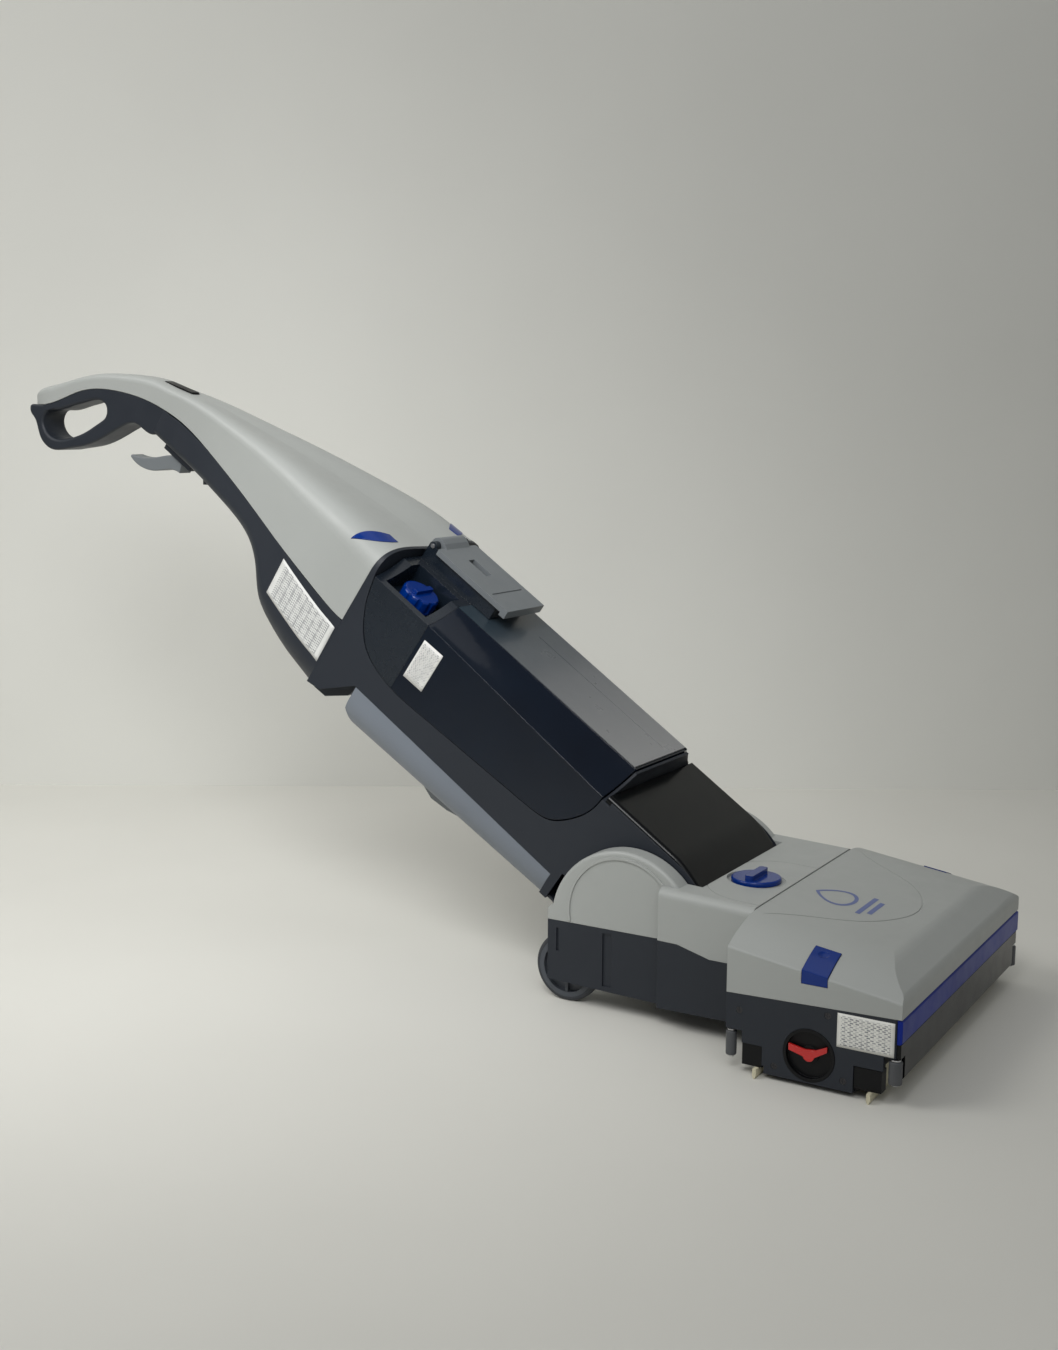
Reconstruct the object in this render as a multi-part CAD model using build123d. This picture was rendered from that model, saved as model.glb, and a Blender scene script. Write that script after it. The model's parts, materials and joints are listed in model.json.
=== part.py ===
from build123d import *
import math
import os

# Wet and dry floor scrubber. Units are millimetres, +Z is up, the front is -Y, and -X is the
# operator's right-hand side. The model is drawn with the front of the brush head at y = 0 and
# the floor at z = 0, and write_parts moves it so that its origin is at the middle of its base.

# ---- driving dimensions -------------------------------------------------------------------
WALL = 3.0                      # moulded wall
FIT = 0.35                      # clearance between pieces that move apart
RUN = 0.05                      # radial clearance of a running shaft

HEAD_HALF = 190.0               # half width of the brush head
HEAD_LENGTH = 163.0             # brush head, front to rear
HEAD_BOTTOM = 22.0
SEAM_FRONT = 80.0               # height of the seam between cover and housing, front and rear
SEAM_REAR = 75.0
COVER_TOP = 136.0               # top of the head cover at its rear edge
COVER_SLOPE = 0.145             # fall of the cover's top, per mm towards the front
PLATE = 6.0                     # thickness of the side plates

MID_HALF = 133.0                # half width of the section behind the head
MID_END = 262.0
REAR_HALF = 122.0               # half width of the section that carries the wheels
REAR_END = 391.0
MID_TOP_FRONT = 137.0
MID_TOP_REAR = 142.0
REAR_SEAM = 88.0

PIVOT_Y = 307.0                 # axis on which the upper body tilts
PIVOT_Z = 88.0
DOME_R = 81.0
LEAN = 35.0                     # angle of the upper body above the floor at rest
LEAN_PARKED = 72.0              # steepest angle of the upper body

BRUSH_Y = 82.5
BRUSH_Z = 31.0
BRUSH_R = 30.0
BRUSH_HALF = 165.0
PORT_R = 24.5
MOTOR_Y = 112.0
MOTOR_Z = 98.0
MOTOR_R = 23.0
BELT_X = 176.0                  # inner edge of the drive belt
BELT_WIDTH = 6.0
MOTOR_PULLEY_R = 7.5
BRUSH_PULLEY_R = 15.0

WHEEL_Y = 376.0
WHEEL_R = 35.6
WHEEL_IN = 96.5                 # the wheel lies between these distances from the middle
WHEEL_OUT = 110.0

BLADE_HALF = 195.0
BLOCK_X = 176.5                 # the end blocks of the squeegee holders begin here
BLOCK_Z = 9.5                   # and hang down to this height
FRONT_BLADE_Y = 25.0
REAR_BLADE_Y = 132.0
ROLLER_X = 185.5
FRONT_ROLLER = (4.5, 20.0, 41.0, 6.0)       # y, lowest z, highest z, radius
REAR_ROLLER = (159.0, 15.0, 38.0, 5.0)

PLATE_SCREWS = ((66, 71), (150, 60), (50, 14), (115, 14))     # y and z
DIAL = (-42.0, 199.0)           # x and y of the flow dial on the rear cover
LATCH_X = 156.0                 # inner end of the cover's latches
LATCH_Y = (67.0, 92.0)

# The upper body is drawn with y along it and z across it, the pivot at the origin.
BODY_HALF = 99.4
FRONT_FACE = 86.0
COVER_FACE = 89.2               # outer face of the black front cover
NOSE_START = 10.0               # the cover's nose begins to curve here
SWING_R = 86.0                  # the body's lower end turns inside this radius
BACK_FACE = -22.0               # seam between the body housing and the solution tank
BODY_TOP = 456.0
COLLAR_TOP = 120.0
TANK_SPLIT = 364.0              # the bucket ends here and the tank's head begins
TANK_EDGE = 93.5                # height of the tank's long side edges
TANK_CROWN = 113.0
STRIP_HALF = 60.0

# Handle stations: seam point, crown point (y, z), half width, height of the shoulder as a part
# of the distance from seam to crown.
HANDLE = [
    ((456.3, 27.0), (456.3, 120.0), 99.0, 0.72),
    ((510.0, 29.0), (510.0, 116.5), 94.5, 0.74),
    ((566.0, 31.0), (566.0, 110.0), 84.0, 0.76),
    ((625.0, 32.0), (625.0, 101.5), 68.5, 0.78),
    ((684.0, 33.0), (686.0, 91.0), 53.0, 0.80),
    ((740.0, 33.0), (747.0, 79.0), 39.5, 0.80),
    ((796.0, 32.5), (809.0, 65.5), 28.5, 0.78),
    ((847.0, 26.0), (862.0, 50.5), 22.0, 0.72),
    ((892.0, 14.0), (906.0, 35.0), 20.0, 0.66),
    ((927.0, -1.0), (940.0, 15.5), 19.5, 0.62),
    ((955.0, -17.0), (967.0, -3.0), 19.5, 0.60),
    ((979.0, -37.0), (993.0, -26.5), 19.5, 0.60),
    ((1003.0, -67.0), (1022.0, -56.0), 20.0, 0.60),
    ((1024.0, -88.5), (1039.0, -73.0), 19.0, 0.60),
    ((1037.0, -96.5), (1046.0, -84.0), 15.0, 0.55),
]
# Back of the handle's rear shell: y, height of the seam, lowest z, half width, corner radius.
SHELL_BACK = [
    (456.3, 25.2, -74.0, 99.0, 38.0),
    (500.0, 27.0, -70.5, 95.6, 38.0),
    (545.0, 29.4, -63.0, 88.4, 34.0),
    (575.0, 30.7, -52.0, 81.8, 30.0),
    (590.0, 31.0, -42.0, 78.0, 27.0),
    (604.0, 31.2, -24.0, 74.2, 22.0),
    (624.0, 31.5, -9.0, 68.7, 18.0),
    (660.0, 32.0, -1.0, 59.0, 16.0),
    (710.0, 32.5, -2.5, 46.5, 14.0),
    (760.0, 32.3, -5.0, 35.0, 12.0),
    (812.0, 29.8, -9.0, 26.0, 10.0),
    (850.0, 24.5, -11.0, 21.5, 9.0),
]

parts = {}


# ---- shared shapes ------------------------------------------------------------------------
def box(x, y, z):
    """A box between pairs of limits."""
    size = [limits[1] - limits[0] for limits in (x, y, z)]
    middle = [(limits[0] + limits[1]) / 2 for limits in (x, y, z)]
    return Pos(*middle) * Box(*size)


def rod_x(y, z, radius, x_from, x_to):
    """A cylinder along X."""
    return Pos((x_from + x_to) / 2, y, z) * Rot(0, 90, 0) * Cylinder(radius, abs(x_to - x_from))


def rod_z(x, y, radius, z_from, z_to):
    """A cylinder along Z."""
    return Pos(x, y, (z_from + z_to) / 2) * Cylinder(radius, z_to - z_from)


def rod_y(x, z, radius, y_from, y_to):
    """A cylinder along Y."""
    return Pos(x, (y_from + y_to) / 2, z) * Rot(90, 0, 0) * Cylinder(radius, y_to - y_from)


def prism(outline, x_from, x_to):
    """A solid with an outline of straight lines through (y, z) points."""
    line = Polyline(*[(x_from, y, z) for y, z in outline], close=True)
    return extrude(make_face(line), amount=x_to - x_from, dir=(1, 0, 0))


def side_prism(edges, half):
    """A solid with a closed outline of edges in the plane x = 0, to half on both sides."""
    return extrude(make_face(edges), amount=half, dir=(1, 0, 0), both=True)


def in_side(points):
    return [(0, y, z) for y, z in points]


def both_sides(solid):
    """A piece and its mirror image on the other side."""
    return Compound([*solid.solids(), *mirror(solid, about=Plane.YZ).solids()])


def seam_z(y):
    """Height of the seam round the brush head."""
    return SEAM_FRONT + (SEAM_REAR - SEAM_FRONT) * y / HEAD_LENGTH


def cover_z(y):
    """Height of the head cover's flat top."""
    return COVER_TOP - COVER_SLOPE * (HEAD_LENGTH - y)


def wheel_disc(inner, outer, x_from, x_to, y, z):
    return rod_x(y, z, outer, x_from, x_to) - rod_x(y, z, inner, x_from, x_to)


# ---- brush head ---------------------------------------------------------------------------
def head_chassis():
    """Deck over the brush, with a chamber for it and a pocket for each squeegee."""
    half = HEAD_HALF - PLATE - 0.2
    front, rear = 3.2, HEAD_LENGTH
    outline = [(front, HEAD_BOTTOM), (rear, HEAD_BOTTOM + 18), (rear, seam_z(rear) - 0.3),
               (front, seam_z(front) - 0.3)]
    body = prism(outline, -half, half)
    chamber_r = BRUSH_R + 4
    body -= rod_x(BRUSH_Y, BRUSH_Z, chamber_r, -half, half)
    body -= box((-half, half), (BRUSH_Y - chamber_r, BRUSH_Y + chamber_r), (0, BRUSH_Z))
    body -= box((-half, half), (front + WALL, rear - WALL), (BRUSH_Z + chamber_r + WALL, 90))
    body -= box((-half, half), (front + WALL, BRUSH_Y - chamber_r - WALL), (0, 62))
    body -= box((-half, half), (BRUSH_Y + chamber_r + WALL, rear - WALL), (0, 62))
    for side in (-1, 1):
        body -= rod_y(side * 70, 54, 13.4, rear - 4, rear + 1)
    body -= box((BELT_X - 1.2, HEAD_HALF), (78, 128), (50, 90))
    for y, _, _, radius in (FRONT_ROLLER, REAR_ROLLER):
        for side in (-1, 1):
            body -= rod_z(side * ROLLER_X, y, radius + 2, 0, 44)
    return body


def side_plate(side):
    """End plate of the brush head, with the bearing port and the cut-outs at the bottom."""
    inner = HEAD_HALF - PLATE
    front_top = (3.4, seam_z(3.4) - 0.3)
    rear_top = (HEAD_LENGTH, seam_z(HEAD_LENGTH) - 0.3)
    outline = [front_top, (3.4, 44), (14, 44), (14, 30.5), (41, 30.5), (41, 5), (125, 5), (125, 12),
               (127, 12), (127, 30), (147, 30), (147, 41), (HEAD_LENGTH, 41), rear_top]
    plate = prism(outline, inner, HEAD_HALF)
    plate = fillet(plate.edges().filter_by(Axis.Z).group_by(Axis.X)[-1].sort_by(Axis.Y)[0], 2)
    if side < 0:
        plate -= rod_x(BRUSH_Y, BRUSH_Z, PORT_R, inner - 1, HEAD_HALF + 1)
    else:
        plate -= rod_x(BRUSH_Y, BRUSH_Z, 6, inner - 1, inner + 3)
        plate += bearing_block(inner)
    for y, z in PLATE_SCREWS:
        plate -= rod_x(y, z, 1.5, inner - 1, HEAD_HALF + 1)
        plate -= rod_x(y, z, 3.2, HEAD_HALF - 1.6, HEAD_HALF + 1)
    return plate if side > 0 else mirror(plate, about=Plane.YZ)


def bearing_block(inner):
    """Bearing of the driven end of the brush, on two arms that pass beside the drive belt."""
    block = box((170, 174.5), (BRUSH_Y - 10, BRUSH_Y + 10), (BRUSH_Z - 10, BRUSH_Z + 10))
    for low, high in ((-32, -24), (24, 32)):
        arm = box((170, inner + 1), (BRUSH_Y + low, BRUSH_Y + high), (BRUSH_Z - 6, BRUSH_Z + 6))
        block += arm
    block += box((170, 174.5), (BRUSH_Y - 32, BRUSH_Y + 32), (BRUSH_Z - 6, BRUSH_Z + 6))
    block &= rod_x(BRUSH_Y, BRUSH_Z, BRUSH_R + 3.6, 169, inner + 1)
    return block - rod_x(BRUSH_Y, BRUSH_Z, 4.5 + RUN, 169, 176)


def plate_screws():
    """Countersunk screws that hold the two side plates."""
    screws = []
    for y, z in PLATE_SCREWS:
        shank = rod_x(y, z, 1.5, HEAD_HALF - PLATE, HEAD_HALF - 1.6)
        head = rod_x(y, z, 3.0, HEAD_HALF - 1.6, HEAD_HALF - 0.2)
        slot = box((HEAD_HALF - 0.8, HEAD_HALF), (y - 2.2, y + 2.2), (z - 0.4, z + 0.4))
        cross = box((HEAD_HALF - 0.8, HEAD_HALF), (y - 0.4, y + 0.4), (z - 2.2, z + 2.2))
        screws += (shank + head - slot - cross).solids()
    return both_sides(Compound(screws))


def front_panel():
    """Glossy panel across the front, below the coloured strip."""
    half = HEAD_HALF - 2
    outline = [(-0.5, 56.8), (-0.5, 24), (1, HEAD_BOTTOM), (3.2, HEAD_BOTTOM), (3.2, 56.8)]
    panel = prism(outline, -half, half)
    for side in (-1, 1):
        panel -= box((side * 195, side * 176) if side < 0 else (176, 195), (-5, 5), (10, 44))
    return panel


def front_strip():
    """Coloured bumper strip across the front."""
    outline = [(-1.5, 58.5), (0.5, 57), (3.2, 57), (3.2, 79), (0.5, 79), (-1.5, 77.5)]
    return prism(outline, -HEAD_HALF + 1, HEAD_HALF - 1)


def cover_shell(inset):
    """Outer form of the head cover, made smaller all round by inset."""
    drop = inset * 1.02
    floor = 60 if inset else SEAM_REAR
    profile = Polyline(*in_side([(HEAD_LENGTH - inset, floor), (HEAD_LENGTH - inset, COVER_TOP - drop),
                                 (26, cover_z(26) - drop), (-1 + inset, 97 - drop),
                                 (-1 + inset, 60 if inset else SEAM_FRONT)]), close=True)
    side = make_face(profile)
    side = fillet([v for v in side.vertices() if v.Y == 26], 24)
    side = fillet([v for v in side.vertices() if abs(v.Z - 97 + drop) < 0.01], 10)
    blank = extrude(side, amount=HEAD_HALF, dir=(1, 0, 0), both=True)
    half, low = HEAD_HALF - inset, SEAM_REAR - 40
    ridge = COVER_TOP - 18 - drop
    rear = HEAD_LENGTH + 5
    lift = COVER_SLOPE * 5
    top = COVER_TOP - drop + lift
    knee = 150
    across = Polyline((-half, rear, low), (-half, rear, ridge + lift), (-knee, rear, top), (knee, rear, top),
                      (half, rear, ridge + lift), (half, rear, low), close=True)
    end = make_face(across)
    end = fillet([v for v in end.vertices() if abs(abs(v.X) - knee) < 0.01], 140)
    end = fillet([v for v in end.vertices() if abs(v.Z - ridge - lift) < 0.01], 3.2)
    return blank & extrude(end, amount=240, dir=(0, -1, -COVER_SLOPE))


def head_cover():
    """Lift-off cover over the brush drive, with a rounded nose and a notch for each latch."""
    shell = cover_shell(0)
    shell -= cover_shell(WALL)
    low, high = LATCH_Y
    for side in (-1, 1):
        x = sorted((side * LATCH_X, side * 195))
        shell -= box(x, (low, high), (96, 140))
    shell -= emblem_groove()
    return shell


def emblem_groove():
    """Fine curved line in the cover's top, a wide U that is open towards the rear."""
    rise = math.degrees(math.atan(COVER_SLOPE))
    regions = []
    for width in (0, 1.2):
        half = [(0, -53.5), (40, -44), (74, -21), (98, 12), (150, 65)]
        bend = [(x - width * 0.8, y + width * 0.8) for x, y in reversed(half[1:])]
        left = [(-x, y) for x, y in reversed(bend)]
        line = Spline(*bend, (0, half[0][1] + width), *left)
        frame = Polyline(left[-1], (left[-1][0], 70), (bend[0][0], 70), bend[0])
        regions.append(extrude(make_face([line, frame]), amount=3))
    return Pos(0, 100, cover_z(100) - 0.5) * Rot(rise, 0, 0) * (regions[0] - regions[1])


def cover_latch(side):
    """Finger latch that hooks over the cover's edge."""
    low, high = LATCH_Y[0] + FIT, LATCH_Y[1] - FIT
    skin = cover_shell(-0.8) - cover_shell(WALL)
    clip = skin & box((LATCH_X + FIT, 195), (low, high), (96 + FIT, 140))
    tongue_x = (172, 176)
    top = cover_z((low + high) / 2) - 12
    tongue = box(tongue_x, (low + 6, high - 6), (86, top))
    clip += tongue
    clip -= Pos(168, (low + high) / 2, cover_z(80) + 1) * Sphere(9.5)
    return clip if side > 0 else mirror(clip, about=Plane.YZ)


def squeegee_holders():
    """Rails that grip the two blades in their pockets, with a block at each end."""
    rails = []
    reach = HEAD_HALF - PLATE - 2
    for y, low, high in ((FRONT_BLADE_Y, 15.5, 40.6), (REAR_BLADE_Y, 127.4, 146.6)):
        rail = box((-reach, reach), (y - 7, y + 7), (30, 61.5))
        rail -= box((-HEAD_HALF, HEAD_HALF), (y - 1.8, y + 1.8), (20, 52))
        for side in (-1, 1):
            block = sorted((side * BLOCK_X, side * (HEAD_HALF - 1)))
            rail += box(block, (low, high), (BLOCK_Z, 29.7))
            rail += box(sorted((side * BLOCK_X, side * reach)), (y - 6, y + 6), (29, 53))
        rails += rail.solids()
    return Compound(rails)


def squeegee_blade(y):
    """Rubber blade that wipes the floor, with a bevelled tip."""
    outline = [(y - 1.8, 52), (y - 1.8, 3), (y - 0.6, 0), (y + 0.6, 0), (y + 1.8, 3), (y + 1.8, 52)]
    blade = prism(outline, -BLADE_HALF, BLADE_HALF)
    for side in (-1, 1):
        end = sorted((side * (BLOCK_X - 0.3), side * 200))
        blade -= box(end, (y - 5, y + 5), (BLOCK_Z - 0.3, 60))
    return blade


def brush_core():
    """Tube of the roller brush, with a shaft at the plain end and a toothed wheel at the drive end."""
    core = rod_x(BRUSH_Y, BRUSH_Z, 15, -BRUSH_HALF, BRUSH_HALF)
    core += rod_x(BRUSH_Y, BRUSH_Z, 4.5, -BRUSH_HALF - 17, BELT_X + BELT_WIDTH + 4)
    core += rod_x(BRUSH_Y, BRUSH_Z, BRUSH_PULLEY_R, BELT_X, BELT_X + BELT_WIDTH)
    return core


def brush_bristles():
    """Envelope of the bristles, which stand in two spiral rows."""
    bristles = wheel_disc(15, BRUSH_R, -BRUSH_HALF, BRUSH_HALF, BRUSH_Y, BRUSH_Z)
    return bristles


def end_cap():
    """Dished bearing cap of the plain end of the brush."""
    cap = rod_x(BRUSH_Y, BRUSH_Z, PORT_R - 0.2, -HEAD_HALF - 0.5, -HEAD_HALF + 7)
    cap -= rod_x(BRUSH_Y, BRUSH_Z, PORT_R - 3, -HEAD_HALF - 1, -HEAD_HALF + 4)
    cap += rod_x(BRUSH_Y, BRUSH_Z, 8, -HEAD_HALF + 2, -HEAD_HALF + 9)
    cap -= rod_x(BRUSH_Y, BRUSH_Z, 4.5 + RUN, -HEAD_HALF + 5, -HEAD_HALF + 10)
    cap -= rod_x(BRUSH_Y, BRUSH_Z, 3 + RUN, -HEAD_HALF, -HEAD_HALF + 4)
    return cap


def release_lever():
    """Lever in the dish that frees the brush."""
    lever = rod_x(BRUSH_Y, BRUSH_Z, 3, -HEAD_HALF + 0.2, -HEAD_HALF + 3.7)
    plate = (-HEAD_HALF - 0.8, -HEAD_HALF + 1.6)
    lever += rod_x(BRUSH_Y, BRUSH_Z, 5.5, *plate)
    arm = [(BRUSH_Y - 17, BRUSH_Z + 11), (BRUSH_Y - 17, BRUSH_Z + 6), (BRUSH_Y - 4, BRUSH_Z - 2),
           (BRUSH_Y + 4, BRUSH_Z - 2), (BRUSH_Y + 19, BRUSH_Z + 2), (BRUSH_Y + 19, BRUSH_Z + 8),
           (BRUSH_Y + 4, BRUSH_Z + 5), (BRUSH_Y - 6, BRUSH_Z + 6)]
    return lever + prism(arm, *plate)


def brush_motor():
    """Can of the brush motor, lying over the deck, with its two feet."""
    motor = rod_x(MOTOR_Y, MOTOR_Z, MOTOR_R, -20, 150)
    motor = chamfer(motor.edges(), 2)
    for x in (0, 130):
        motor += box((x - 6, x + 6), (MOTOR_Y - 18, MOTOR_Y + 18), (BRUSH_Z + 34 + WALL, MOTOR_Z - 10))
    return motor - rod_x(MOTOR_Y, MOTOR_Z, 4 + RUN, 100, 151)


def motor_rotor():
    """Shaft of the brush motor with its flanged pulley."""
    rotor = rod_x(MOTOR_Y, MOTOR_Z, 4, 102, BELT_X + BELT_WIDTH + 1)
    rotor += rod_x(MOTOR_Y, MOTOR_Z, MOTOR_PULLEY_R, BELT_X, BELT_X + BELT_WIDTH)
    return rotor + rod_x(MOTOR_Y, MOTOR_Z, MOTOR_PULLEY_R + 2, BELT_X - 1.5, BELT_X)


def belt_loop(growth):
    """Outline of the belt's run round both pulleys, as a solid."""
    rise = math.hypot(MOTOR_Y - BRUSH_Y, MOTOR_Z - BRUSH_Z)
    lean = math.atan2(MOTOR_Z - BRUSH_Z, MOTOR_Y - BRUSH_Y)
    small, large = MOTOR_PULLEY_R + growth, BRUSH_PULLEY_R + growth
    spread = math.acos((large - small) / rise)
    loop = rod_x(BRUSH_Y, BRUSH_Z, large, BELT_X + 0.5, BELT_X + BELT_WIDTH - 0.5)
    loop += rod_x(MOTOR_Y, MOTOR_Z, small, BELT_X + 0.5, BELT_X + BELT_WIDTH - 0.5)
    corners = []
    for centre, radius in (((BRUSH_Y, BRUSH_Z), large), ((MOTOR_Y, MOTOR_Z), small)):
        for turn in (lean + spread, lean - spread):
            corners.append((centre[0] + radius * math.cos(turn), centre[1] + radius * math.sin(turn)))
    outline = [corners[0], corners[1], corners[3], corners[2]]
    return loop + prism(outline, BELT_X + 0.5, BELT_X + BELT_WIDTH - 0.5)


def drive_belt():
    """Belt from the motor to the brush."""
    return belt_loop(2.0) - belt_loop(0.3)


def roller(y, z_low, z_high, radius, side):
    """Bumper roller at a corner of the head."""
    wheel = rod_z(side * ROLLER_X, y, radius, z_low, z_high)
    wheel = fillet(wheel.edges(), 1.2)
    return wheel - rod_z(side * ROLLER_X, y, 1.6 + RUN, z_low - 1, z_high + 1)


def roller_pins():
    """Shouldered pins of the four bumper rollers, each hung from a lug."""
    pins = []
    for y, low, high, radius in (FRONT_ROLLER, REAR_ROLLER):
        for side in (-1, 1):
            x = side * ROLLER_X
            pin = rod_z(x, y, 1.6, low - 0.3, high + 1.5)
            pin += rod_z(x, y, 2.8, low - 1.5, low - 0.3)
            pin += rod_z(x, y, radius - 1.5, high + 0.5, high + 1.8)
            pins.append(pin.solid())
    return Compound(pins)


# ---- rear of the base ---------------------------------------------------------------------
def rear_chassis():
    """Tray behind the head, with side walls and open wells for the wheels."""
    front = HEAD_LENGTH + 0.3
    mid = [(front, HEAD_BOTTOM + 1), (MID_END, HEAD_BOTTOM), (MID_END, 90), (241, 89.5), (207, 80.3),
           (front, 80.2)]
    tray = prism(mid, -MID_HALF, MID_HALF)
    rear_top = REAR_SEAM - 0.3
    rear = [(MID_END - 1, 21.5), (REAR_END, 25), (REAR_END, rear_top), (MID_END - 1, rear_top)]
    tray += prism(rear, -REAR_HALF, REAR_HALF)
    tray -= box((-MID_HALF + WALL, MID_HALF - WALL), (front + WALL, MID_END - WALL), (25.2, 120))
    tray -= box((-REAR_HALF + WALL, REAR_HALF - WALL), (MID_END - WALL - 1, REAR_END + 1), (25.2, 120))
    tray -= box((-REAR_HALF + WALL, REAR_HALF - WALL), (334, REAR_END + 1), (0, 40))
    step = REAR_HALF + 0.4
    tray -= box((-step, step), (MID_END - WALL - 1, MID_END + 1), (REAR_SEAM - 0.3, 95))
    for side in (-1, 1):
        groove = sorted((side * (REAR_HALF - 1.8), side * (REAR_HALF + 5)))
        tray -= box(groove, (318, 328), (28, 83))
        tray -= box(groove, (378, 381), (56, 80))
        tray -= rod_y(side * 70, 54, 13.4, front - 1, front + 4)
    return tray


def rear_cover():
    """Cover of the section behind the head, with a hollow dome each side of the tilting body."""
    front = HEAD_LENGTH + 0.6
    mid = [(front, 80.4), (207, 80.6), (241, 89.8), (MID_END, 90.3), (MID_END, MID_TOP_REAR),
           (front, MID_TOP_FRONT)]
    cover = prism(mid, -MID_HALF, MID_HALF)
    top_edges = [edge for edge in cover.edges() if edge.center().Z > 135 and abs(edge.center().X) > 130]
    cover = fillet(top_edges, 9)
    sides = prism([(MID_END - 1, REAR_SEAM), (REAR_END, REAR_SEAM), (REAR_END, 100), (386, 104), (340, 118),
                   (300, 130), (MID_END - 1, 137)], 101, REAR_HALF)
    dome = rod_x(PIVOT_Y, PIVOT_Z, DOME_R, 101, REAR_HALF)
    dome = fillet(dome.edges().sort_by(Axis.X)[-1], 4)
    dome -= box((90, 130), (200, 400), (0, REAR_SEAM))
    ring = wheel_disc(58.5, 61.5, REAR_HALF - 0.1, REAR_HALF + 1.2, PIVOT_Y, PIVOT_Z + 14)
    ring -= box((90, 130), (200, 400), (0, REAR_SEAM + 2))
    hollow = rod_x(PIVOT_Y, PIVOT_Z, DOME_R - WALL, 104, REAR_HALF - WALL)
    hollow += box((104, REAR_HALF - WALL), (MID_END - 8, REAR_END - WALL), (70, 97))
    cheek = (dome + sides + ring) - hollow
    cheek -= box((100, 105), (PIVOT_Y - 13, PIVOT_Y + 13), (REAR_SEAM - 1, PIVOT_Z + 13))
    room = box((-MID_HALF + WALL, MID_HALF - WALL), (front + WALL, MID_END + 1), (70, 200))
    slope = math.degrees(math.atan((MID_TOP_REAR - MID_TOP_FRONT) / (MID_END - front)))
    lid = Pos(0, front, MID_TOP_FRONT - WALL) * Rot(slope, 0, 0) * Pos(0, 60, 50) * Box(400, 220, 100)
    room -= lid
    room -= swing_space(104, WALL)
    cover -= room
    cover -= swing_space(101, 0)
    cover += cheek
    cover += mirror(cheek, about=Plane.YZ)
    cover += rod_z(DIAL[0], DIAL[1], 31, MID_TOP_FRONT - 3.4, MID_TOP_FRONT + 0.2)
    cover -= rod_z(DIAL[0], DIAL[1], 5 + FIT, 120, 150)
    cover -= rod_z(DIAL[0], DIAL[1], 29, MID_TOP_FRONT - 0.2, 160)
    cover -= dial_groove()
    return cover - swing_space(101, 0)


def swing_space(half, growth):
    """Room in which the body's lower end turns, up to its steepest angle."""
    room = rod_x(PIVOT_Y, PIVOT_Z, COVER_FACE + 0.8 + growth, -half, half)
    face = box((-half, half), (0, 130), (0, COVER_FACE + 0.5 + growth))
    return room + Pos(0, PIVOT_Y, PIVOT_Z) * Rot(LEAN_PARKED, 0, 0) * face


def dial_groove():
    """Fine line in the rear cover's top, a rounded frame round the dial."""
    slope = math.degrees(math.atan((MID_TOP_REAR - MID_TOP_FRONT) / (MID_END - HEAD_LENGTH)))
    middle, width, length, corner, line = 161, 152, 150, 50, 1.2
    frame = RectangleRounded(width, length, corner)
    frame -= RectangleRounded(width - 2 * line, length - 2 * line, corner - line)
    return Pos(DIAL[0], middle, MID_TOP_FRONT - 0.6) * Rot(slope, 0, 0) * extrude(frame, amount=3)


def dial_knob():
    """Dial of the water flow, with a grip bar across it and a stem."""
    x, y = DIAL
    top = MID_TOP_FRONT + 9
    knob = rod_z(x, y, 25, MID_TOP_FRONT + 0.3, top - 4)
    knob = fillet(knob.edges().sort_by(Axis.Z)[-1], 2)
    bar = Pos(x, y, top - 3) * Box(40, 9, 8)
    bar = fillet(bar.edges().filter_by(Axis.Z), 3)
    knob += bar
    return knob + rod_z(x, y, 5, 116, MID_TOP_FRONT + 1)


def valve_body():
    """Flow valve under the dial, on a post from the tray."""
    x, y = DIAL
    body = rod_z(x, y, 14, 92, 122)
    body += rod_z(x, y, 6, 25.2, 92)
    body += rod_y(x, 104, 4, y - 30, y)
    return body - rod_z(x, y, 5 + RUN, 114, 123)


def water_pump():
    """Pump that feeds the brush, a motor with a pump head, on a foot."""
    pump = rod_x(196, 56, 22, 30, 95)
    pump += box((95, 118), (176, 216), (36, 76))
    return pump + box((35, 110), (182, 210), (25.2, 40))


def dirty_water_duct():
    """Pipe from the suction pocket to the hollow pivot, on one side."""
    duct = rod_y(-70, 54, 13, HEAD_LENGTH - 2.8, 208)
    return duct - rod_y(-70, 54, 11, HEAD_LENGTH - 4, 210)


def pivot_brackets():
    """Steel plates that carry the pivot tubes."""
    plate = box((104.4, 108.4), (PIVOT_Y - 24, PIVOT_Y + 24), (25.2, PIVOT_Z + 18))
    plate = fillet(plate.edges().filter_by(Axis.X).group_by(Axis.Z)[-1], 12)
    plate += box((104.4, 118.8), (PIVOT_Y - 24, PIVOT_Y + 24), (25.2, 29))
    plate -= rod_x(PIVOT_Y, PIVOT_Z, 12, 100, 112)
    return both_sides(plate)


def pivot_tubes():
    """Hollow trunnions of the tilting body. The right one carries the dirty water."""
    tube = rod_x(PIVOT_Y, PIVOT_Z, 12, 84, 112)
    tube += rod_x(PIVOT_Y, PIVOT_Z, 15, 108.4, 111)
    return both_sides(tube - rod_x(PIVOT_Y, PIVOT_Z, 9, 80, 120))


def wheel_axles():
    """Stub axles in the side walls, with a washer head inside each wheel."""
    axle = rod_x(WHEEL_Y, WHEEL_R, 5, WHEEL_IN - 2.6, REAR_HALF - WALL)
    axle += rod_x(WHEEL_Y, WHEEL_R, 8, WHEEL_IN - 2.6, WHEEL_IN - 0.6)
    axle += rod_x(WHEEL_Y, WHEEL_R, 12, WHEEL_OUT + 2, REAR_HALF - WALL)
    return both_sides(axle)


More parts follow.
